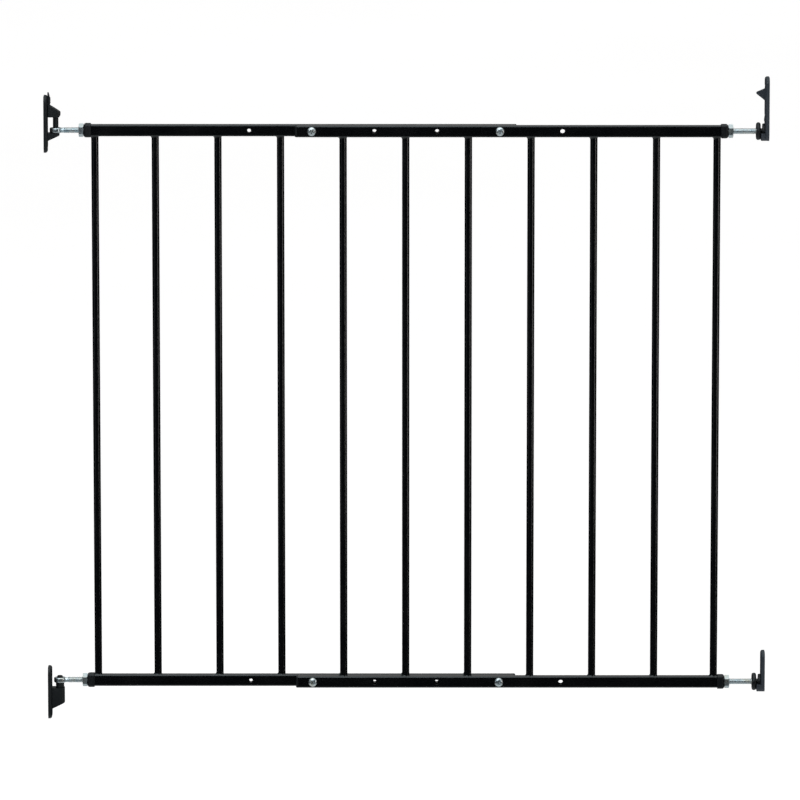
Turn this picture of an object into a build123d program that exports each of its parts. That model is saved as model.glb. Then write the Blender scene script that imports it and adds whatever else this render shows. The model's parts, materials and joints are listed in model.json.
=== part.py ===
from build123d import *
import math
import os

# A hardware-mounted safety gate for a doorway or stair: two welded steel sections that
# telescope past each other, hung on two wall brackets and latched into two more.
# Millimetres. +X runs from the hinge wall to the latch wall, -Y faces the room, +Z is up.
# The origin is on the hinge wall, at the middle of the lower hinge bracket's screw holes.

# Frame
BAR_PITCH = 85.0
END_PITCH = 82.0  # between the outermost bar and the next one
BAR_DIA = 10.0
BAR_WALL = 1.2
BARS = 7
SHIFT_IN_PITCHES = 4  # how far the front section stands to the right of the rear one
RAIL_HEIGHT = 16.0
RAIL_DEPTH = 12.0
RAIL_WALL = 1.2
RAIL_CORNER = 2.0
RAIL_GAP = 0.7  # between the rear and the front rails
FRAME_HEIGHT = 775.0
FREE_END = 65.5  # last bar's axis to the free end of a rail
FREE_END_TO_PLUG = 3.0
COLLAR_TO_BAR = 15.0  # first bar's axis to the outer face of the end cap
COLLAR_LENGTH = 10.0
COLLAR_HEIGHT = 19.0
COLLAR_DEPTH = 15.0
CAP_PLUG_LENGTH = 18.0
INSIDE_CLEARANCE = 0.05  # each side, between a plug and the inside of a rail

# Doorway and hinge line
OPENING = 983.0
PIN_X = 16.0
FIRST_BAR_X = 69.0
LOWER_AXIS_Z = 17.0

# Screws that join the two sections, and the threaded inserts that they go into
CLAMP_HOLE_DIA = 6.5
CLAMP_SCREW_DIA = 6.0
CLAMP_HEAD_DIA = 12.4
CLAMP_HEAD_HEIGHT = 3.8
CLAMP_HOLES = 5
FIRST_CLAMP_HOLE = 2.5  # in pitches from a section's first bar, on the rear section
CLAMP_HOLES_USED = (3.5, 6.5)  # in pitches from the rear section's first bar
INSERT_DIA = 8.0
INSERT_BORE = 5.2
INSERT_LENGTH = 9.0
INSERT_FLANGE_DIA = 10.5
INSERT_FLANGE = 0.6

# Spindles and their adjusting nuts
SPINDLE_DIA = 8.0
SPINDLE_CLEARANCE = 0.1  # radial
SPINDLE_INSIDE = 48.0  # length of a spindle beyond the end cap's outer face
NUT_FLATS = 16.0
NUT_THICKNESS = 6.5
NUT_CHAMFER = 1.1
NUT_CHAMFER_LENGTH = 0.8
NUT_GAP = 0.2  # from the end cap

# Hinge eyes, bushes and pins
EYE_DIA = 16.5
EYE_HEIGHT = 7.0
EYE_NECK = 11.0  # the pin's axis to the end of the neck, which is as flat as the eye
PIN_DIA = 7.6
BUSH_WALL = 1.15
RUNNING_CLEARANCE = 0.05  # radial
BUSH_STANDS_OUT = 0.2  # below the eye, so that the gate rests on its bushes
BOSS_DIA = 11.5

# Wall brackets
PLATE = 5.0
PLATE_WIDTH = 28.0
PLATE_CORNER = 8.0
PLATE_SOFTNESS = 2.8
LUG_WIDTH = 17.0
SCREW_HOLE_DIA = 5.0
COUNTERSINK_DIA = 8.4
COUNTERSINK_DEPTH = 1.7
LATCH_PLATE = 5.4
UPPER_LATCH_WIDTH = 34.0

# Latch studs and sockets, as distances from the latch wall
HEAD_DIA = 21.0
HEAD_NEAR = 5.6
HEAD_FAR = 8.8
FLANGE_DIA = 24.0
FLANGE_NEAR = 11.3
FLANGE_FAR = 17.3
NECK_DIA = 8.0
SOCKET_DEPTH = 11.0
SOCKET_WALL = 1.95
SOCKET_TOP = -2.0  # from the spindle's axis
SOCKET_BOTTOM = -12.4
SOCKET_CLEARANCE = 0.3

# Latch lever, with heights from the upper spindle's axis
LEVER_WIDTH = 11.6
WINDOW_WIDTH = 12.4
LEVER_PIVOT_Z = 67.5
LEVER_PIVOT_D = 2.7
LEVER_BARREL_DIA = 4.4
LEVER_PIN_DIA = 2.5
TAB_WIDTH = 9.0

UPPER_AXIS_Z = LOWER_AXIS_Z + FRAME_HEIGHT - RAIL_HEIGHT
FRONT_Y = -(RAIL_DEPTH + RAIL_GAP)
SHIFT = SHIFT_IN_PITCHES * BAR_PITCH
COLLAR_X = FIRST_BAR_X - COLLAR_TO_BAR
SECOND_BAR_X = FIRST_BAR_X + END_PITCH
LAST_BAR_X = SECOND_BAR_X + SHIFT + (BARS - 3) * BAR_PITCH + END_PITCH
LATCH_COLLAR_X = LAST_BAR_X + COLLAR_TO_BAR
AXES = {"upper": UPPER_AXIS_Z, "lower": LOWER_AXIS_Z}


def block(x, y, z):
    """A box between two values on each axis."""
    size = (x[1] - x[0], y[1] - y[0], z[1] - z[0])
    middle = ((x[0] + x[1]) / 2, (y[0] + y[1]) / 2, (z[0] + z[1]) / 2)
    return Pos(*middle) * Box(*size)


def rod_x(radius, x0, x1, y=0.0, z=0.0):
    """A cylinder along X."""
    return Pos((x0 + x1) / 2, y, z) * Rot(0, 90, 0) * Cylinder(radius, x1 - x0)


def rod_y(radius, y0, y1, x=0.0, z=0.0):
    """A cylinder along Y."""
    return Pos(x, (y0 + y1) / 2, z) * Rot(90, 0, 0) * Cylinder(radius, y1 - y0)


def rod_z(radius, z0, z1, x=0.0, y=0.0):
    """A cylinder along Z."""
    return Pos(x, y, (z0 + z1) / 2) * Cylinder(radius, z1 - z0)


def bar_of(profile, x0, x1, y, z):
    """A YZ profile pushed along X."""
    return Pos(x0, y, z) * extrude(Plane.YZ * profile, x1 - x0)


def side_profile(points, width, y=0.0):
    """A closed outline in X and Z, given width along Y."""
    outline = Polyline(*[(x, 0, z) for x, z in points], close=True)
    return Pos(0, y, 0) * extrude(make_face(outline), width / 2, both=True)


def edges_at_x(shape, x):
    """The edges that lie at one value of X."""
    return [e for e in shape.edges() if abs(e.center().X - x) < 0.01]


def edges_at_z(shape, z):
    """The edges that lie at one value of Z."""
    return [e for e in shape.edges() if abs(e.center().Z - z) < 0.01]


def edges_along(shape, axis, where):
    """The straight edges along an axis whose middle passes a test."""
    return [e for e in shape.edges().filter_by(axis) if where(e.center())]


def rail(x0, x1, y, z, holes):
    """A rectangular tube along X; each hole is (x, diameter, y of the cut's two ends)."""
    outer = RectangleRounded(RAIL_DEPTH, RAIL_HEIGHT, RAIL_CORNER)
    bore = RectangleRounded(
        RAIL_DEPTH - 2 * RAIL_WALL, RAIL_HEIGHT - 2 * RAIL_WALL, RAIL_CORNER - RAIL_WALL
    )
    tube = bar_of(outer - bore, x0, x1, y, z)
    for x, diameter, (y0, y1) in holes:
        tube -= rod_y(diameter / 2, y0, y1, x, z)
    return tube


def round_bar(x, y):
    """One upright tube between the rails."""
    z0 = LOWER_AXIS_Z + RAIL_HEIGHT / 2
    z1 = UPPER_AXIS_Z - RAIL_HEIGHT / 2
    return rod_z(BAR_DIA / 2, z0, z1, x, y) - rod_z(BAR_DIA / 2 - BAR_WALL, z0, z1, x, y)


def inner_block(x0, x1, y, z):
    """What fits inside a rail between two values of X."""
    inset = RAIL_WALL + INSIDE_CLEARANCE
    face = RectangleRounded(RAIL_DEPTH - 2 * inset, RAIL_HEIGHT - 2 * inset, 0.7)
    return bar_of(face, x0, x1, y, z)


def end_cap(outer_x, inward, y, z):
    """The collar and plug that carry a spindle; inward is +1 or -1 along X."""
    collar_face = RectangleRounded(COLLAR_DEPTH, COLLAR_HEIGHT, 3.5)
    inner_x = outer_x + inward * COLLAR_LENGTH
    plug_x = inner_x + inward * CAP_PLUG_LENGTH
    collar = bar_of(collar_face, min(outer_x, inner_x), max(outer_x, inner_x), y, z)
    collar = fillet(edges_at_x(collar, outer_x), 3.2)
    collar = fillet(edges_at_x(collar, inner_x), 1.4)
    cap = collar + inner_block(min(inner_x, plug_x), max(inner_x, plug_x), y, z)
    ends = (min(outer_x, plug_x) - 1, max(outer_x, plug_x) + 1)
    return cap - rod_x(SPINDLE_DIA / 2 + SPINDLE_CLEARANCE, *ends, y, z)


def free_end_plug(outer_x, inward, y, z):
    """The small plug that closes the other end of a rail."""
    face = RectangleRounded(RAIL_DEPTH, RAIL_HEIGHT, RAIL_CORNER)
    inner_x = outer_x + inward * FREE_END_TO_PLUG
    plug_x = inner_x + inward * 10
    lid = bar_of(face, min(outer_x, inner_x), max(outer_x, inner_x), y, z)
    lid = fillet(edges_at_x(lid, outer_x), 1.8)
    return lid + inner_block(min(inner_x, plug_x), max(inner_x, plug_x), y, z)


def rivet_insert(x, z):
    """A threaded insert set in the front wall of a rear rail."""
    face_y = -RAIL_DEPTH / 2
    body = rod_y(INSERT_DIA / 2, face_y, face_y + INSERT_LENGTH, x, z)
    flange = rod_y(INSERT_FLANGE_DIA / 2, face_y - INSERT_FLANGE, face_y, x, z)
    bore = rod_y(INSERT_BORE / 2, face_y - 2, face_y + INSERT_LENGTH + 1, x, z)
    return body + flange - bore


def clamp_screw(x, z):
    """A pan head screw with a cross recess; its shank ends level with the rail's rear face."""
    face_y = FRONT_Y - RAIL_DEPTH / 2
    head = rod_y(CLAMP_HEAD_DIA / 2, face_y - CLAMP_HEAD_HEIGHT, face_y, x, z)
    rim = [e for e in head.edges() if abs(e.center().Y - face_y + CLAMP_HEAD_HEIGHT) < 0.01]
    head = fillet(rim, CLAMP_HEAD_HEIGHT * 0.6)
    shank = rod_y(CLAMP_SCREW_DIA / 2, face_y, FRONT_Y + RAIL_DEPTH / 2 - 0.2, x, z)
    recess_y = (face_y - CLAMP_HEAD_HEIGHT - 1, face_y - CLAMP_HEAD_HEIGHT + 2.2)
    for turn in (45, 135):
        slot = block((-3.1, 3.1), recess_y, (-0.6, 0.6))
        head -= Pos(x, 0, z) * Rot(0, turn, 0) * slot
    return head + shank


def adjusting_nut(x0, y, z):
    """A hexagon nut on a spindle, with two of its flats facing the room and the back."""
    across_corners = NUT_FLATS / math.cos(math.radians(30))
    hexagon = RegularPolygon(across_corners / 2, 6, rotation=30)
    nut = bar_of(hexagon, x0, x0 + NUT_THICKNESS, y, z)
    cone_length = 12.0
    slope = NUT_CHAMFER / NUT_CHAMFER_LENGTH
    top = across_corners / 2 - NUT_CHAMFER + cone_length * slope
    taper = Cone(top, across_corners / 2 - NUT_CHAMFER, cone_length)
    left = Pos(x0 + cone_length / 2, y, z) * Rot(0, -90, 0) * taper
    right = Pos(x0 + NUT_THICKNESS - cone_length / 2, y, z) * Rot(0, 90, 0) * taper
    nut = nut & left & right
    return nut - rod_x(SPINDLE_DIA / 2 + SPINDLE_CLEARANCE, x0 - 1, x0 + NUT_THICKNESS + 1, y, z)


def eyebolt(z):
    """A hinge spindle whose flat eye turns on the hinge pin."""
    bore = PIN_DIA / 2 + 2 * RUNNING_CLEARANCE + BUSH_WALL
    eye = rod_z(EYE_DIA / 2, z - EYE_HEIGHT / 2, z + EYE_HEIGHT / 2, PIN_X)
    eye = fillet(eye.edges().filter_by(GeomType.CIRCLE), 1.5)
    neck = rod_x(SPINDLE_DIA / 2, PIN_X + bore + 1, PIN_X + EYE_NECK, 0, z)
    neck &= block((0, OPENING), (-EYE_DIA, EYE_DIA), (z - EYE_HEIGHT / 2, z + EYE_HEIGHT / 2))
    shank = rod_x(SPINDLE_DIA / 2, PIN_X + EYE_NECK, COLLAR_X + SPINDLE_INSIDE, 0, z)
    shank = chamfer(edges_at_x(shank, COLLAR_X + SPINDLE_INSIDE), 0.8)
    return eye + neck + shank - rod_z(bore, z - 5, z + 5, PIN_X)


def eye_bush(z):
    """The plastic bush between an eye and its pin."""
    inside = PIN_DIA / 2 + RUNNING_CLEARANCE
    sleeve = rod_z(inside + BUSH_WALL, seat_height(z), z + EYE_HEIGHT / 2, PIN_X)
    return sleeve - rod_z(inside, z - EYE_HEIGHT, z + EYE_HEIGHT, PIN_X)


def wall_plate(width, z0, z1, thickness):
    """A bracket's plate on the hinge wall, with rounded corners and a softened front edge."""
    face = RectangleRounded(width, z1 - z0, PLATE_CORNER)
    plate = bar_of(face, 0, thickness, 0, (z0 + z1) / 2)
    return fillet(edges_at_x(plate, thickness), PLATE_SOFTNESS)


def screw_holes(places):
    """Cutters for countersunk wood screws; each place is Y, Z and the front face's X."""
    cutters = []
    for y, z, face_x in places:
        sink = Cone(SCREW_HOLE_DIA / 2, COUNTERSINK_DIA / 2, COUNTERSINK_DEPTH)
        cutters.append(rod_x(SCREW_HOLE_DIA / 2, -1, face_x + 1, y, z))
        cutters.append(Pos(face_x - COUNTERSINK_DEPTH / 2, y, z) * Rot(0, 90, 0) * sink)
    return cutters


def seat_height(z):
    """Where the underside of an eye's bush rests."""
    return z - EYE_HEIGHT / 2 - BUSH_STANDS_OUT


def rounded_lug(points):
    """A lug cut from a side outline, with its outer corners rounded in plan."""
    lug = side_profile(points, LUG_WIDTH)
    reach = max(x for x, _ in points)
    return fillet(edges_along(lug, Axis.Z, lambda c: abs(c.X - reach) < 0.01), 5)


# Places of the wood screws: Y, Z and the X of the face that each one sinks into
UPPER_HINGE_SCREWS = [
    (side * 8.5, UPPER_AXIS_Z + height, PLATE) for side in (-1, 1) for height in (39, -24)
]
LOWER_HINGE_SCREWS = [(0, -29, PLATE), (0, 29, PLATE)]
KEYWAY_WIDTH = (10.0, 7.2)  # behind and in front
KEYWAY_STEP = 2.5
KEYWAY_CLEARANCE = 0.2
KEYWAY_BOTTOM = 12.0
SPINE_WIDTH = 7.0
LOCK_PIN_REACH = 8.0  # below the eye's middle
LOWER_PIN_REACH = 6.0  # above the eye's middle


def upper_hinge_bracket():
    """The bracket with one lug below the eye and a keyway for the sliding lock above it."""
    z = UPPER_AXIS_Z
    seat = seat_height(z)
    lug = [(PLATE - 1, seat), (21, seat), (21, seat - 3.3), (PLATE - 1, seat - 11)]
    bracket = wall_plate(PLATE_WIDTH, z - 30.2, z + 47.5, PLATE) + rounded_lug(lug)
    for width, x in zip(KEYWAY_WIDTH, ((-1, KEYWAY_STEP), (KEYWAY_STEP, PLATE + 1))):
        bracket -= block(x, (-width / 2, width / 2), (z + KEYWAY_BOTTOM, z + 60))
    pin_hole = rod_z(PIN_DIA / 2 + RUNNING_CLEARANCE, z - LOCK_PIN_REACH - 0.3, z, PIN_X)
    bracket -= pin_hole
    for cutter in screw_holes(UPPER_HINGE_SCREWS):
        bracket -= cutter
    return bracket


def upper_hinge_lock():
    """The sliding piece that closes the upper hinge: key, finger tab, lug and pin in one."""
    z = UPPER_AXIS_Z
    under = z + 18.1
    lug = [(6.2, under), (21, under), (22.5, under + 2.3), (22.5, z + 24.9), (6.2, z + 35)]
    spine = [(PLATE + 0.2, under), (8.6, under), (8.6, z + 44), (6.6, z + 51.4),
             (PLATE + 0.2, z + 51.4)]
    lock = rounded_lug(lug) + side_profile(spine, SPINE_WIDTH)
    key_y = [width / 2 - KEYWAY_CLEARANCE for width in KEYWAY_WIDTH]
    lock += block((KEYWAY_CLEARANCE, KEYWAY_STEP - KEYWAY_CLEARANCE), (-key_y[0], key_y[0]),
                  (z + 14, z + 46))
    lock += block((KEYWAY_CLEARANCE, PLATE + 0.5), (-key_y[1], key_y[1]), (under, z + 46))
    for rib in range(4):
        lock += rod_y(0.7, -SPINE_WIDTH / 2, SPINE_WIDTH / 2, 8.6, z + 37.5 + 2 * rib)
    pin = rod_z(PIN_DIA / 2, z - LOCK_PIN_REACH, under + 1, PIN_X)
    return lock + chamfer(edges_at_z(pin, z - LOCK_PIN_REACH), 0.8)


def lower_hinge_bracket():
    """The bracket that bears the gate: a cored block with a raised seat and a fixed pin."""
    z = LOWER_AXIS_Z
    top = z - 10.5
    outline = [(PLATE - 1, top), (22.5, top), (22.5, z - 31), (PLATE - 1, z - 40)]
    bracket = wall_plate(PLATE_WIDTH, -36, 36, PLATE) + rounded_lug(outline)
    bracket += rod_z(BOSS_DIA / 2, top - 1, seat_height(z), PIN_X)
    pin = rod_z(PIN_DIA / 2, top - 1, z + LOWER_PIN_REACH, PIN_X)
    bracket += chamfer(edges_at_z(pin, z + LOWER_PIN_REACH), 0.6)
    core = [(-1, top - 3), (19.5, top - 3), (19.5, z - 27.5), (-1, z - 27.5)]
    bracket -= side_profile(core, LUG_WIDTH - 5)
    for cutter in screw_holes(LOWER_HINGE_SCREWS):
        bracket -= cutter
    return bracket


def on_latch_wall(shape):
    """Turn a shape drawn on the hinge wall round to face it from the latch wall."""
    return Pos(OPENING, FRONT_Y, 0) * Rot(0, 0, 180) * shape


def stud_socket(z, width):
    """The open-topped pocket for a stud's head, with a notch for its neck."""
    half = width / 2
    socket = block((0, SOCKET_DEPTH), (-half, half), (z + SOCKET_BOTTOM, z + SOCKET_TOP))
    corners = edges_along(socket, Axis.X, lambda c: c.Z < z + SOCKET_BOTTOM + 0.01)
    socket = fillet(corners, 6)
    return fillet(edges_at_x(socket, SOCKET_DEPTH), 0.8)


def socket_cutters(z):
    """What is cut from a socket: the head's pocket and the neck's notch."""
    pocket = (LATCH_PLATE, SOCKET_DEPTH - SOCKET_WALL)
    notch = (LATCH_PLATE, SOCKET_DEPTH + 1)
    cutters = []
    for (x0, x1), radius in ((pocket, HEAD_DIA / 2), (notch, NECK_DIA / 2)):
        radius += SOCKET_CLEARANCE
        cutters.append(rod_x(radius, x0, x1, 0, z))
        cutters.append(block((x0, x1), (-radius, radius), (z, z + 20)))
    return cutters


UPPER_LATCH_SCREWS = [
    (side * 11.6, UPPER_AXIS_Z + height, LATCH_PLATE) for side in (-1, 1) for height in (20, 60)
]
LOWER_LATCH_SCREWS = [(0, LOWER_AXIS_Z + height, LATCH_PLATE) for height in (17, 35)]


def latch_bracket(z, width, height, screws):
    """A latch bracket's plate with its socket, drawn on the hinge wall."""
    plate = wall_plate(width, z + SOCKET_BOTTOM, z + height, LATCH_PLATE)
    bracket = plate + stud_socket(z, PLATE_WIDTH)
    for cutter in socket_cutters(z) + screw_holes(screws):
        bracket -= cutter
    return bracket


def upper_latch_bracket():
    """The latch bracket with a window in which the release lever swings."""
    z = UPPER_AXIS_Z
    half = WINDOW_WIDTH / 2
    bracket = latch_bracket(z, UPPER_LATCH_WIDTH, 73.7, UPPER_LATCH_SCREWS)
    bracket -= block((-1, LATCH_PLATE + 1), (-half, half), (z + 10.9, z + 71.2))
    bracket -= rod_y(LEVER_PIN_DIA / 2, -half - 7, 20, LEVER_PIVOT_D, z + LEVER_PIVOT_Z)
    return on_latch_wall(bracket)


def lower_latch_bracket():
    """The plain latch bracket."""
    return on_latch_wall(latch_bracket(LOWER_AXIS_Z, PLATE_WIDTH, 42.9, LOWER_LATCH_SCREWS))


def latch_lever():
    """The release lever: barrel, blade, thumb tab, and the nose that stops the stud rising."""
    z = UPPER_AXIS_Z
    blade = [(3.0, z + 66), (5.2, z + 66), (5.2, z + 24.5), (6.6, z + 14.2), (3.8, z + 14.2),
             (3.0, z + 45)]
    tab = [(5.0, z + 58.4), (9.0, z + 56.6), (16.4, z + 53.4), (17.6, z + 52.0),
           (16.6, z + 50.6), (10.5, z + 45.9), (5.0, z + 41.2)]
    thumb = side_profile(tab, TAB_WIDTH)
    tips = edges_along(thumb, Axis.Y, lambda c: c.X > 16)
    lever = side_profile(blade, LEVER_WIDTH) + fillet(tips, 0.4)
    half = LEVER_WIDTH / 2
    lever += rod_y(LEVER_BARREL_DIA / 2, -half, half, LEVER_PIVOT_D, z + LEVER_PIVOT_Z)
    bore = LEVER_PIN_DIA / 2 + RUNNING_CLEARANCE
    lever -= rod_y(bore, -half - 1, half + 1, LEVER_PIVOT_D, z + LEVER_PIVOT_Z)
    return on_latch_wall(lever)


def latch_lever_pin():
    """The pivot pin, pressed in from the bracket's room-side edge."""
    half = WINDOW_WIDTH / 2
    z = UPPER_AXIS_Z + LEVER_PIVOT_Z
    pin = rod_y(LEVER_PIN_DIA / 2, -half - 7, UPPER_LATCH_WIDTH / 2 - 0.5, LEVER_PIVOT_D, z)
    return on_latch_wall(pin)


def latch_spring():
    """A bent leaf between the wall and the lever's back, which pushes the nose out."""
    z = UPPER_AXIS_Z
    path = [(0.3, z + 28), (0.3, z + 32), (2.5, z + 46), (2.5, z + 50)]
    back = [(x + 0.4, height) for x, height in path]
    return on_latch_wall(side_profile(path + back[::-1], 5.0))


def latch_stud(z):
    """The moulded end of a latch spindle: flange, neck and head, drawn from the latch wall."""
    head = rod_x(HEAD_DIA / 2, HEAD_NEAR, HEAD_FAR, 0, z)
    head = fillet(head.edges().filter_by(GeomType.CIRCLE), 0.9)
    flange = rod_x(FLANGE_DIA / 2, FLANGE_NEAR, FLANGE_FAR, 0, z)
    flange = fillet(flange.edges().filter_by(GeomType.CIRCLE), 2.5)
    stud = head + flange + rod_x(NECK_DIA / 2, HEAD_FAR - 1, FLANGE_NEAR + 1, 0, z)
    return on_latch_wall(stud - rod_x(SPINDLE_DIA / 2, FLANGE_FAR - 5, FLANGE_FAR + 1, 0, z))


def latch_spindle(z):
    """The threaded rod of a latch stud."""
    inner_x = LATCH_COLLAR_X - SPINDLE_INSIDE
    rod = rod_x(SPINDLE_DIA / 2, inner_x, OPENING - FLANGE_FAR + 5, FRONT_Y, z)
    return chamfer(edges_at_x(rod, inner_x), 0.8)


def clamp_hole_x(pitches):
    """X of a clamp hole, counted in pitches from the rear section's first bar."""
    return SECOND_BAR_X + (pitches - 1) * BAR_PITCH


def section_nodes(side, y, bar_x, rail_x, cap, plug, holes):
    """The rails, bars, end caps and plugs of one section."""
    nodes = {}
    for level, z in AXES.items():
        nodes[f"{side}_{level}_rail"] = rail(*rail_x, y, z, holes)
        nodes[f"{side}_{level}_end_cap"] = end_cap(*cap, y, z)
        nodes[f"{side}_{level}_plug"] = free_end_plug(*plug, y, z)
    for i, x in enumerate(bar_x):
        nodes[f"{side}_bar_{i + 1}"] = round_bar(x, y)
    return nodes


def left_section():
    """The rear section, which hangs on the hinge eyes."""
    bar_x = [FIRST_BAR_X] + [SECOND_BAR_X + i * BAR_PITCH for i in range(BARS - 1)]
    free_x = bar_x[-1] + FREE_END
    rail_x = (COLLAR_X + COLLAR_LENGTH, free_x - FREE_END_TO_PLUG)
    hole_x = [clamp_hole_x(FIRST_CLAMP_HOLE + i) for i in range(CLAMP_HOLES)]
    holes = [(x, INSERT_DIA + 2 * RUNNING_CLEARANCE, (-RAIL_DEPTH, 0)) for x in hole_x]
    holes += [(x, CLAMP_HOLE_DIA, (0, RAIL_DEPTH)) for x in hole_x]
    nodes = section_nodes("left", 0, bar_x, rail_x, (COLLAR_X, 1), (free_x, -1), holes)
    for level, z in AXES.items():
        nodes[f"{level}_rivet_inserts"] = [rivet_insert(x, z) for x in hole_x]
    return nodes


def right_section():
    """The front section, which carries the latch studs and the clamp screws."""
    first_x = SECOND_BAR_X + SHIFT - BAR_PITCH
    bar_x = [first_x + i * BAR_PITCH for i in range(BARS - 1)] + [LAST_BAR_X]
    free_x = first_x - FREE_END
    rail_x = (free_x + FREE_END_TO_PLUG, LATCH_COLLAR_X - COLLAR_LENGTH)
    cut = (FRONT_Y - RAIL_DEPTH, FRONT_Y + RAIL_DEPTH)
    first_hole = SHIFT_IN_PITCHES - 0.5
    holes = [(clamp_hole_x(first_hole + i), CLAMP_HOLE_DIA, cut) for i in range(CLAMP_HOLES)]
    cap = (LATCH_COLLAR_X, -1)
    nodes = section_nodes("right", FRONT_Y, bar_x, rail_x, cap, (free_x, 1), holes)
    for level, z in AXES.items():
        screws = [clamp_screw(clamp_hole_x(place), z) for place in CLAMP_HOLES_USED]
        nodes[f"{level}_clamp_screws"] = screws
    return nodes


def spindle_nodes():
    """Everything that repeats at the upper and the lower spindle."""
    nodes = {}
    for level, z in AXES.items():
        nodes[f"{level}_hinge_eyebolt"] = eyebolt(z)
        nodes[f"{level}_eye_bush"] = eye_bush(z)
        nodes[f"{level}_hinge_nut"] = adjusting_nut(COLLAR_X - NUT_GAP - NUT_THICKNESS, 0, z)
        nodes[f"{level}_latch_nut"] = adjusting_nut(LATCH_COLLAR_X + NUT_GAP, FRONT_Y, z)
        nodes[f"{level}_latch_spindle"] = latch_spindle(z)
        nodes[f"{level}_latch_stud"] = latch_stud(z)
    return nodes


def bracket_nodes():
    """The wall brackets, the hinge lock and the latch lever's pieces."""
    return {
        "upper_hinge_bracket": upper_hinge_bracket(),
        "lower_hinge_bracket": lower_hinge_bracket(),
        "upper_hinge_lock": upper_hinge_lock(),
        "upper_latch_bracket": upper_latch_bracket(),
        "lower_latch_bracket": lower_latch_bracket(),
        "latch_lever": latch_lever(),
        "latch_lever_pin": latch_lever_pin(),
        "latch_spring": latch_spring(),
    }


def main():
    """Write one STEP file per node."""
    os.makedirs("parts", exist_ok=True)
    nodes = {**left_section(), **right_section(), **spindle_nodes(), **bracket_nodes()}
    for name, shape in nodes.items():
        solids = shape if isinstance(shape, list) else [shape]
        whole = Compound(children=[solid for piece in solids for solid in piece.solids()])
        export_step(whole, f"parts/{name}.step")
    print(len(nodes), "nodes")


main()
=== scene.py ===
import json
import math
import random

import bmesh
import bpy
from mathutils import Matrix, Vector


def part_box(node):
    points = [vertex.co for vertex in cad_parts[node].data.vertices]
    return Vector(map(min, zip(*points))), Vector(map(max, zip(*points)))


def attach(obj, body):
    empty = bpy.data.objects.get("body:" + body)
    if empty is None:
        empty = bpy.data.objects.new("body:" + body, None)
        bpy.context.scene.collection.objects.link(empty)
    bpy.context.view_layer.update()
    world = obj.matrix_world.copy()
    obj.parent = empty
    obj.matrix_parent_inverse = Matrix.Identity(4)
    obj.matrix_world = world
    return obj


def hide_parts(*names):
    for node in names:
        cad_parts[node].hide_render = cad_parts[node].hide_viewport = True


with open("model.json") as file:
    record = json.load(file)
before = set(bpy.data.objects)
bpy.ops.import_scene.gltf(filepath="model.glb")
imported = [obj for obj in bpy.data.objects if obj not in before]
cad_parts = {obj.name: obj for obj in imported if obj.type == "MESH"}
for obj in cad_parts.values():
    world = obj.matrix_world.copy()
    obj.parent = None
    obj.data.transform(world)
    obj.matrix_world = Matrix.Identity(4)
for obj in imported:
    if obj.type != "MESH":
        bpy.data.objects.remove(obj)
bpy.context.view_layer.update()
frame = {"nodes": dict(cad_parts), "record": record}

# Metres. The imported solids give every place; these are the details that they leave out.
ROD_RADIUS = 0.004
THREAD_PITCH = 0.00125
THREAD_DEPTH = 0.0007
THREAD_SIDES = 40
THREAD_STEPS = 9  # slices in one pitch
ROD_BEVEL = 0.0009
WELD_SIZES = (0.0013, 0.0027)  # at a bar's +X side and at its -X side
WELD_TALLNESS = 1.35
WELD_RIPPLES = 15
WELD_HOLLOW = 1.7  # how hollow the fillet is; 1 would be flat
RECESS_ARM = 0.0038
RECESS_SLOT = 0.0014
RECESS_DEPTH = 0.0022
SCREW_SHANK_RADIUS = 0.003
BARS = 7  # in each section
BAR_RADIUS = 0.005
RAIL_HALF_DEPTH = 0.006
FRONT_Y = -0.0127
PIN_X = 0.016
EYE_BORE = 0.00505
EYE_HALF_HEIGHT = 0.0035
EYE_SOFTNESS = 0.0016
EYE_BORE_BEVEL = 0.0003
THREAD_FROM_PIN = 0.011
FLOOR_Z = -0.9
FLOOR_REACH = 60.0
FLOOR_FAR = 90.0
CAMERA_DISTANCE = 9.0
CAMERA_ELEVATION = math.radians(8.6)
SENSOR = 36.0
PICTURE_WIDTH = 1.0916  # metres across the picture, at the gate
PICTURE_CENTRE = Vector((0.4832, -0.006, 0.4065))

# What reflections show of the room, from straight down (-1) to straight up (1)
ROOM_TONES = (
    (-1.0, (0.50, 0.54, 0.55)), (-0.45, (0.36, 0.40, 0.41)), (-0.28, (0.010, 0.012, 0.014)),
    (0.30, (0.010, 0.012, 0.015)), (0.50, (0.30, 0.36, 0.38)), (1.0, (0.80, 0.90, 0.92)),
)

random.seed(4)
LEVELS = ("upper", "lower")
SIDES = ("left", "right")


# ---------------------------------------------------------------- materials

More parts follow.
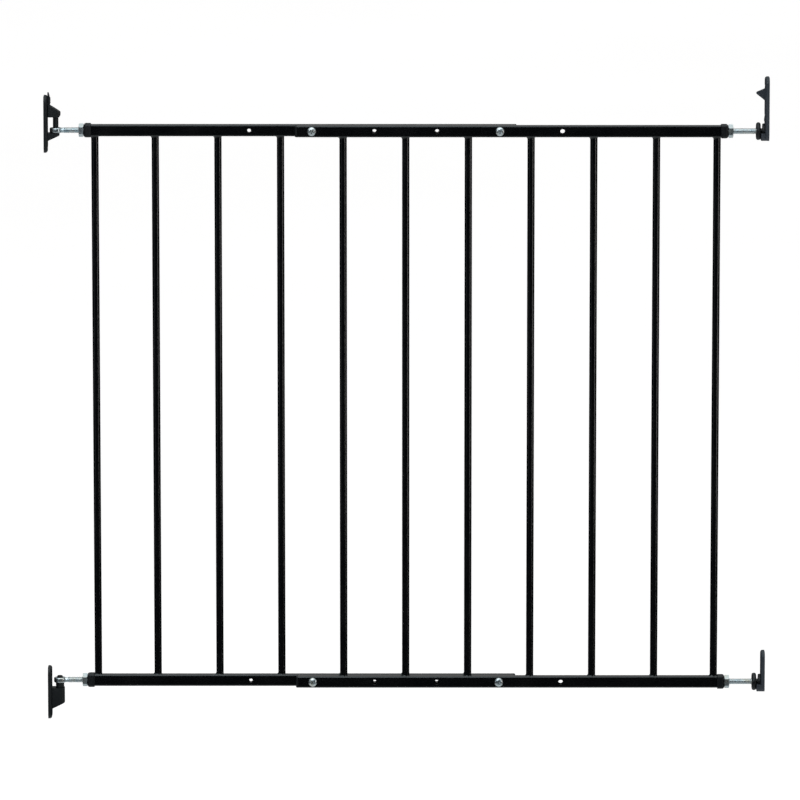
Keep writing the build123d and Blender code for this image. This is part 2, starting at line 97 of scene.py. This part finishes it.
class Shader:
    """A material under construction, with short ways to add and join nodes."""

    def __init__(self, name):
        self.material = bpy.data.materials.new(name)
        self.material.use_nodes = True
        self.tree = self.material.node_tree
        self.surface = self.tree.nodes["Principled BSDF"]
        self.place = self.tree.nodes.new("ShaderNodeTexCoord").outputs["Object"]

    def node(self, kind, **sockets):
        """Adds a node. A socket's value may be a number, a colour or another node's output."""
        made = self.tree.nodes.new(kind)
        for key, value in sockets.items():
            self.feed(made.inputs[key.replace("_", " ")], value)
        return made

    def feed(self, socket, value):
        """Sets a socket, or links an output to it."""
        if isinstance(value, bpy.types.NodeSocket):
            self.tree.links.new(value, socket)
        else:
            socket.default_value = value

    def noise(self, scale, detail=3.0, stretch=(1.0, 1.0, 1.0)):
        """Fractal noise, between 0 and 1, in object space."""
        placed = self.node("ShaderNodeMapping", Vector=self.place, Scale=stretch)
        texture = self.node(
            "ShaderNodeTexNoise", Vector=placed.outputs[0], Scale=scale, Detail=detail
        )
        return texture.outputs["Fac"]

    def cells(self, scale):
        """The distance to the nearest of many scattered points."""
        texture = self.node("ShaderNodeTexVoronoi", Vector=self.place, Scale=scale)
        return texture.outputs["Distance"]

    def spread(self, value, low, high, start=0.0, end=1.0):
        """Maps a value from start..end to low..high."""
        ranged = self.node("ShaderNodeMapRange", Value=value)
        for key, number in zip(("From Min", "From Max", "To Min", "To Max"),
                               (start, end, low, high)):
            ranged.inputs[key].default_value = number
        return ranged.outputs[0]

    def ramp(self, value, stops):
        """A colour ramp with (position, colour) stops."""
        made = self.node("ShaderNodeValToRGB", Fac=value)
        elements = made.color_ramp.elements
        while len(elements) < len(stops):
            elements.new(0.5)
        for element, (position, colour) in zip(elements, stops):
            element.position = position
            element.color = (*colour, 1.0)
        return made.outputs["Color"]

    def blend(self, amount, first, second):
        """Mixes two colours."""
        made = self.tree.nodes.new("ShaderNodeMix")
        made.data_type = "RGBA"
        self.feed(made.inputs[0], amount)
        self.feed(made.inputs[6], first)
        self.feed(made.inputs[7], second)
        return made.outputs[2]

    def bump(self, height, strength, distance, under=None):
        """A bump of a real depth in metres, on top of another one."""
        made = self.node(
            "ShaderNodeBump", Height=height, Strength=strength, Distance=distance
        )
        if under is not None:
            self.feed(made.inputs["Normal"], under)
        return made.outputs[0]

    def finish(self, **sockets):
        """Sets the surface's own sockets."""
        for key, value in sockets.items():
            self.feed(self.surface.inputs[key.replace("_", " ")], value)
        return self.material


def gloss_paint(name):
    """Black powder coat: slight orange peel, faint dust and uneven gloss."""
    shader = Shader(name)
    peel = shader.noise(420.0, 2.0)
    grain = shader.noise(2600.0, 2.0)
    cloud = shader.noise(28.0, 4.0)
    dust = shader.spread(shader.noise(1500.0, 1.0), 0.0, 1.0, 0.74, 0.80)
    colour = shader.ramp(cloud, [(0.3, (0.0007, 0.0009, 0.0013)), (0.7, (0.0016, 0.0015, 0.0018))])
    colour = shader.blend(dust, colour, (0.010, 0.010, 0.011, 1.0))
    rough = shader.spread(cloud, 0.16, 0.24, 0.3, 0.7)
    normal = shader.bump(grain, 0.06, 0.00002, shader.bump(peel, 0.10, 0.00006))
    return shader.finish(
        Base_Color=colour, Roughness=rough, Normal=normal, IOR=1.5,
        Coat_Weight=0.35, Coat_Roughness=0.09,
    )


def moulded_plastic(name, dark, pale, rough, speck):
    """Spark-eroded moulded plastic with flow marks and dusty grain."""
    shader = Shader(name)
    flow = shader.noise(60.0, 4.0, (1.0, 1.0, 0.35))
    grain = shader.cells(2600.0)
    fine = shader.noise(5200.0, 2.0)
    marks = shader.spread(shader.noise(900.0, 2.0), 0.0, 1.0, 0.66, 0.78)
    colour = shader.ramp(flow, [(0.3, dark), (0.72, pale)])
    colour = shader.blend(marks, colour, (*speck, 1.0))
    normal = shader.bump(grain, 0.30, 0.00006, shader.bump(fine, 0.2, 0.00003))
    return shader.finish(
        Base_Color=colour, Roughness=shader.spread(flow, rough - 0.06, rough + 0.08, 0.3, 0.7),
        Normal=normal, IOR=1.46,
    )


def zinc_plate():
    """Bright zinc: cool passivated tint with yellow patches, drawn lines and tiny pits."""
    shader = Shader("zinc_plate")
    tint = shader.noise(95.0, 4.0)
    lines = shader.noise(2400.0, 2.0, (1.0, 0.06, 0.06))
    pits = shader.spread(shader.cells(1900.0), 0.0, 1.0, 0.02, 0.20)
    colour = shader.ramp(tint, [
        (0.28, (0.60, 0.70, 0.74)), (0.50, (0.78, 0.81, 0.82)), (0.74, (0.80, 0.76, 0.66))
    ])
    rough = shader.spread(lines, 0.20, 0.40, 0.25, 0.75)
    normal = shader.bump(pits, 0.15, 0.00004, shader.bump(lines, 0.12, 0.00003))
    return shader.finish(Base_Color=colour, Metallic=1.0, Roughness=rough, Normal=normal)


def spring_steel():
    """Bright rolled strip with fine lines along its length."""
    shader = Shader("spring_steel")
    lines = shader.noise(3000.0, 2.0, (1.0, 1.0, 0.04))
    colour = shader.ramp(lines, [(0.3, (0.42, 0.43, 0.45)), (0.7, (0.62, 0.62, 0.62))])
    normal = shader.bump(lines, 0.15, 0.00003)
    return shader.finish(
        Base_Color=colour, Metallic=1.0, Roughness=shader.spread(lines, 0.22, 0.38), Normal=normal
    )


MATERIALS = {
    "frame_paint": gloss_paint("gloss_paint"),
    "insert_black": gloss_paint("black_insert"),
    "cap_plastic": moulded_plastic(
        "cap_plastic", (0.0022, 0.0026, 0.0032), (0.0045, 0.005, 0.006), 0.36, (0.014, 0.015, 0.017)
    ),
    "bracket_plastic": moulded_plastic(
        "bracket_plastic", (0.0032, 0.0044, 0.0052), (0.0062, 0.0078, 0.0088), 0.40, (0.02, 0.022, 0.024)
    ),
    "latch_plastic": moulded_plastic(
        "latch_plastic", (0.019, 0.024, 0.032), (0.029, 0.035, 0.045), 0.46, (0.06, 0.07, 0.082)
    ),
    "bush_plastic": moulded_plastic(
        "bush_plastic", (0.006, 0.006, 0.007), (0.012, 0.012, 0.013), 0.5, (0.03, 0.03, 0.032)
    ),
    "zinc": zinc_plate(),
    "spring_steel": spring_steel(),
}


# ---------------------------------------------------------------- meshes

def new_piece(name, slot, body, build, replaced=()):
    """Makes an object from a function that fills a bmesh, and ties it to a CAD body."""
    mesh = bmesh.new()
    build(mesh)
    bmesh.ops.recalc_face_normals(mesh, faces=mesh.faces)
    data = bpy.data.meshes.new(name)
    mesh.to_mesh(data)
    mesh.free()
    data.shade_smooth()
    data.materials.append(MATERIALS[slot])
    piece = bpy.data.objects.new(name, data)
    bpy.context.scene.collection.objects.link(piece)
    sharpen(piece)
    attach(piece, body)
    if replaced:
        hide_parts(*replaced)
    return piece


def sharpen(piece, angle=math.radians(32)):
    """Marks edges over an angle as sharp, so that flat faces shade flat."""
    mesh = bmesh.new()
    mesh.from_mesh(piece.data)
    for edge in mesh.edges:
        if len(edge.link_faces) == 2 and edge.calc_face_angle(0.0) > angle:
            edge.smooth = False
    mesh.to_mesh(piece.data)
    mesh.free()


def loft(mesh, rings, loop=False):
    """Joins rings of points into a skin, as a loop or with closed ends."""
    made = [[mesh.verts.new(point) for point in ring] for ring in rings]
    pairs = list(zip(made, made[1:]))
    if loop:
        pairs.append((made[-1], made[0]))
    for a, b in pairs:
        for i in range(len(a)):
            j = (i + 1) % len(a)
            mesh.faces.new((a[i], a[j], b[j], b[i]))
    if not loop:
        mesh.faces.new(made[0])
        mesh.faces.new(made[-1])


def circle(radius, sides, place):
    """Points of a circle; place turns (across, up) into a point."""
    points = []
    for i in range(sides):
        turn = 2 * math.pi * i / sides
        points.append(place(radius * math.cos(turn), radius * math.sin(turn)))
    return points


def turned_x(mesh, profile, y, z, sides=48):
    """A lathe shape about X, from (x, radius) pairs."""
    rings = []
    for x, radius in profile:
        rings.append(circle(radius, sides, lambda a, b, x=x: Vector((x, y + a, z + b))))
    loft(mesh, rings)


def thread_depth(phase):
    """Depth of a rolled 60 degree thread, as a share, over one pitch."""
    share = abs((phase % 1.0) * 2 - 1)
    return min(1.0, max(0.0, (share - 0.08) / 0.76))


def threaded_rod(mesh, x0, x1, y, z, radius):
    """A rod along X with a right-hand thread and bevelled ends."""
    steps = math.ceil((x1 - x0) / THREAD_PITCH * THREAD_STEPS)
    rings = []
    for step in range(steps + 1):
        x = x0 + (x1 - x0) * step / steps
        end = min(x - x0, x1 - x)
        limit = radius - max(0.0, ROD_BEVEL - end)
        ring = []
        for i in range(THREAD_SIDES):
            share = i / THREAD_SIDES
            depth = THREAD_DEPTH * thread_depth((x - x0) / THREAD_PITCH - share)
            at = min(radius - depth, limit)
            turn = 2 * math.pi * share
            ring.append(Vector((x, y + at * math.cos(turn), z + at * math.sin(turn))))
        rings.append(ring)
    loft(mesh, rings)


def eye_ring(mesh, z, outer, half_height):
    """The forged flat ring of a hinge spindle, softened at its edges."""
    soft = EYE_SOFTNESS
    bevel = EYE_BORE_BEVEL
    steps = 6
    profile = [(EYE_BORE, half_height - bevel), (EYE_BORE + bevel, half_height)]
    for i in range(steps + 1):
        turn = math.pi / 2 * i / steps
        reach = outer - soft + soft * math.sin(turn)
        profile.append((reach, half_height - soft + soft * math.cos(turn)))
    profile += [(radius, -height) for radius, height in reversed(profile)]
    rings = []
    for radius, height in profile:
        rings.append(circle(radius, 64, lambda a, b, h=height: Vector((PIN_X + a, b, z + h))))
    loft(mesh, rings, loop=True)


def hinge_spindle(level):
    """A hinge spindle: forged eye, short plain neck and long thread."""
    node = f"{level}_hinge_eyebolt"
    low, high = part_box(node)
    z = (low[2] + high[2]) / 2
    outer = PIN_X - low[0]
    thread = PIN_X + THREAD_FROM_PIN

    def build(mesh):
        eye_ring(mesh, z, outer, EYE_HALF_HEIGHT)
        turned_x(mesh, [
            (PIN_X + outer - 0.0026, 0.0031), (PIN_X + outer + 0.0004, 0.0034),
            (thread + 0.0004, EYE_HALF_HEIGHT)
        ], 0.0, z, THREAD_SIDES)
        threaded_rod(mesh, thread, high[0], 0.0, z, ROD_RADIUS)

    new_piece(f"{level}_threaded_eyebolt", "zinc", "hinge_eyebolts", build, [node])


def latch_rod(level):
    """A latch spindle's threaded rod."""
    node = f"{level}_latch_spindle"
    low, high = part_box(node)
    z = (low[2] + high[2]) / 2

    def build(mesh):
        threaded_rod(mesh, low[0], high[0], FRONT_Y, z, ROD_RADIUS)

    new_piece(f"{level}_threaded_spindle", "zinc", f"{level}_latch_spindle", build, [node])


def weld_bead(mesh, x, y, z, up):
    """A fillet weld round the end of a bar; up is +1 when the bar rises from the rail."""
    sides = 72
    start = random.uniform(0, 2 * math.pi)
    room = RAIL_HALF_DEPTH - BAR_RADIUS
    rings = []
    for i in range(sides):
        turn = 2 * math.pi * i / sides
        swell = 1 + 0.08 * math.sin(turn * WELD_RIPPLES + start) + random.uniform(-0.03, 0.03)
        lean = (1 - math.cos(turn)) / 2
        size = swell * (WELD_SIZES[0] + (WELD_SIZES[1] - WELD_SIZES[0]) * lean ** 2)
        crowded = abs(math.sin(turn)) ** 3
        width = size * (1 - crowded) + room * crowded
        rings.append(weld_section(x, y, z, up, turn, width, size * WELD_TALLNESS))
    loft(mesh, rings, loop=True)


def weld_section(x, y, z, up, turn, width, height):
    """One slice of a weld: a hollow fillet from the rail up to the bar, closed inside it."""
    across, along = math.cos(turn), math.sin(turn)
    into_bar, into_rail, rail_corner = 0.0001, 0.0002, 0.002
    steps = 8
    points = []
    for k in range(steps + 1):
        share = k / steps
        reach = BAR_RADIUS - into_bar + width * (1 - share) ** WELD_HOLLOW
        rise = height * share ** WELD_HOLLOW
        over_edge = abs(reach * along) - (RAIL_HALF_DEPTH - rail_corner)
        drop = max(0.0, over_edge) ** 2 / (2 * rail_corner)
        points.append(Vector((x + reach * across, y + reach * along, z + up * (rise - drop))))
    inner = BAR_RADIUS - 4 * into_bar
    for rise in (height, -into_rail):
        points.append(Vector((x + inner * across, y + inner * along, z + up * rise)))
    return points


def weld_set(side):
    """Every weld of one section."""
    def build(mesh):
        for bar in range(1, BARS + 1):
            low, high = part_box(f"{side}_bar_{bar}")
            x = (low[0] + high[0]) / 2
            y = (low[1] + high[1]) / 2
            weld_bead(mesh, x, y, low[2], 1)
            weld_bead(mesh, x, y, high[2], -1)

    new_piece(f"{side}_welds", "frame_paint", f"{side}_section", build)


def pan_head(mesh, x, y, z, radius, height):
    """A domed screw head with a driven cross recess, facing -Y."""
    sides = 160
    # Even rings, and closer ones where the dome falls away at the rim
    shares = [k / 34 for k in range(33)] + [0.965, 0.985, 1.0]
    rings = []
    for share in shares:
        ring = []
        for i in range(sides):
            turn = 2 * math.pi * i / sides
            across = radius * share * math.cos(turn)
            up = radius * share * math.sin(turn)
            dome = height * (1 - share ** 4) ** 0.5
            sunk = cross_recess(across, up)
            ring.append(Vector((x + across, y - max(dome, 0.0) + sunk, z + up)))
        rings.append(ring)
    centre = rings[0][0]
    made = [[mesh.verts.new(point) for point in ring] for ring in rings[1:]]
    hub = mesh.verts.new(centre)
    for i in range(sides):
        mesh.faces.new((hub, made[0][i], made[0][(i + 1) % sides]))
    for a, b in zip(made, made[1:]):
        for i in range(sides):
            j = (i + 1) % sides
            mesh.faces.new((a[i], b[i], b[j], a[j]))


def cross_recess(across, up):
    """How deep a cross recess turned by 45 degrees is at one point of a screw head."""
    u = (across + up) / math.sqrt(2)
    v = (across - up) / math.sqrt(2)
    deepest = 0.0
    for along, side in ((abs(u), abs(v)), (abs(v), abs(u))):
        wall = min(1.0, max(0.0, (RECESS_SLOT * 0.7 - side) / (RECESS_SLOT * 0.3)))
        end = min(1.0, max(0.0, (RECESS_ARM - along) / (RECESS_ARM * 0.4)))
        deepest = max(deepest, RECESS_DEPTH * wall * end)
    return deepest


def screw_back(face_y, radius, tip_y):
    """(Y, radius) of the flat underside of a screw's head and of its shank."""
    shank = SCREW_SHANK_RADIUS
    return (face_y, radius), (face_y - 0.00001, shank), (tip_y, shank - 0.0001)


def screw_set(level):
    """The clamp screws of one rail, with the undersides of their heads and their shanks."""
    node = f"{level}_clamp_screws"
    low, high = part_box(node)
    z = (low[2] + high[2]) / 2
    radius = (high[2] - low[2]) / 2
    face_y = FRONT_Y - RAIL_HALF_DEPTH

    def build(mesh):
        for x in (low[0] + radius, high[0] - radius):
            pan_head(mesh, x, face_y, z, radius, face_y - low[1])
            rings = []
            for y, reach in screw_back(face_y, radius, high[1]):
                rings.append(circle(reach, 48, lambda a, b, y=y: Vector((x + a, y, z + b))))
            loft(mesh, rings)

    new_piece(f"{level}_cross_head_screws", "zinc", "right_section", build, [node])


def dress_cad_nodes():
    """Gives every CAD node that stays in view its procedural material."""
    for entry in frame["record"]["subparts"]:
        node = frame["nodes"][entry["node"]]
        node.data.materials.clear()
        node.data.materials.append(MATERIALS[entry["material_slot"]])


# ---------------------------------------------------------------- stage

def add_floor():
    """A very large pale floor, well below the gate."""
    mesh = bpy.data.meshes.new("floor")
    side, far, z = FLOOR_REACH, FLOOR_FAR, FLOOR_Z
    corners = [(-side, -side, z), (side, -side, z), (side, far, z), (-side, far, z)]
    mesh.from_pydata(corners, [], [(0, 1, 2, 3)])
    shader = Shader("pale_floor")
    shade = shader.noise(0.4, 2.0)
    colour = shader.ramp(shade, [(0.3, (0.93, 0.93, 0.93)), (0.7, (0.96, 0.96, 0.96))])
    mesh.materials.append(shader.finish(
        Base_Color=colour, Roughness=0.9, Emission_Color=(1.0, 0.89, 0.86, 1.0),
        Emission_Strength=0.575,
    ))
    floor = bpy.data.objects.new("floor", mesh)
    bpy.context.scene.collection.objects.link(floor)
    floor.visible_glossy = False


def add_world():
    """White behind the gate; its reflections show a dark room with a pale ceiling and floor."""
    world = bpy.data.worlds.new("studio")
    world.use_nodes = True
    tree = world.node_tree
    shown = tree.nodes["Background"]
    shown.inputs["Color"].default_value = (1.0, 1.0, 1.0, 1.0)
    shown.inputs["Strength"].default_value = 1.0
    room = tree.nodes.new("ShaderNodeBackground")
    way = tree.nodes.new("ShaderNodeTexCoord")
    split = tree.nodes.new("ShaderNodeSeparateXYZ")
    height = tree.nodes.new("ShaderNodeMapRange")
    height.inputs["From Min"].default_value = -1.0
    ramp = tree.nodes.new("ShaderNodeValToRGB")
    elements = ramp.color_ramp.elements
    while len(elements) < len(ROOM_TONES):
        elements.new(0.5)
    for element, (up, tone) in zip(elements, ROOM_TONES):
        element.position = (up + 1) / 2
        element.color = (*tone, 1.0)
    tree.links.new(way.outputs["Generated"], split.inputs[0])
    tree.links.new(split.outputs["Z"], height.inputs["Value"])
    tree.links.new(height.outputs[0], ramp.inputs[0])
    tree.links.new(ramp.outputs[0], room.inputs["Color"])
    rays = tree.nodes.new("ShaderNodeLightPath")
    mix = tree.nodes.new("ShaderNodeMixShader")
    tree.links.new(rays.outputs["Is Camera Ray"], mix.inputs[0])
    tree.links.new(room.outputs[0], mix.inputs[1])
    tree.links.new(shown.outputs[0], mix.inputs[2])
    tree.links.new(mix.outputs[0], tree.nodes["World Output"].inputs["Surface"])
    bpy.context.scene.world = world


def add_area(name, place, aim, size, power, colour):
    """A rectangular soft light that faces a point."""
    light = bpy.data.lights.new(name, "AREA")
    light.shape = "RECTANGLE"
    light.size, light.size_y = size
    light.energy = power
    light.color = colour
    lamp = bpy.data.objects.new(name, light)
    lamp.location = place
    lamp.rotation_euler = (Vector(aim) - Vector(place)).to_track_quat("-Z", "Y").to_euler()
    bpy.context.scene.collection.objects.link(lamp)


def add_lights():
    """A cool strip at each side, a broad top light and a low front fill."""
    middle = (0.49, 0.0, 0.4)
    cool, warm, white = (0.80, 0.92, 1.0), (1.0, 0.97, 0.95), (1.0, 1.0, 1.0)
    add_area("left_strip", (-2.6, -1.7, 0.9), middle, (0.5, 2.6), 2.5, cool)
    add_area("right_strip", (3.6, -1.7, 0.9), middle, (0.5, 2.6), 15.0, warm)
    add_area("top", (0.5, -0.8, 3.0), middle, (3.2, 1.6), 16.0, white)
    add_area("front", (-0.6, -4.2, 2.4), middle, (3.0, 1.4), 42.0, cool)
    add_area("back", (0.5, 5.0, 1.2), middle, (6.0, 1.4), 6.0, warm)


def add_camera():
    """A far camera with a long lens, so that upright lines stay upright."""
    data = bpy.data.cameras.new("camera")
    data.sensor_width = SENSOR
    data.lens = SENSOR * CAMERA_DISTANCE / PICTURE_WIDTH
    data.clip_end = 100.0
    camera = bpy.data.objects.new("camera", data)
    away = Vector((0.0, -math.cos(CAMERA_ELEVATION), math.sin(CAMERA_ELEVATION)))
    camera.location = PICTURE_CENTRE + away * CAMERA_DISTANCE
    camera.rotation_euler = (-away).to_track_quat("-Z", "Y").to_euler()
    bpy.context.scene.collection.objects.link(camera)
    bpy.context.scene.camera = camera


dress_cad_nodes()
for level in LEVELS:
    hinge_spindle(level)
    latch_rod(level)
    screw_set(level)
for side in SIDES:
    weld_set(side)
add_floor()
add_world()
add_lights()
add_camera()
bpy.context.scene.view_settings.view_transform = "Standard"
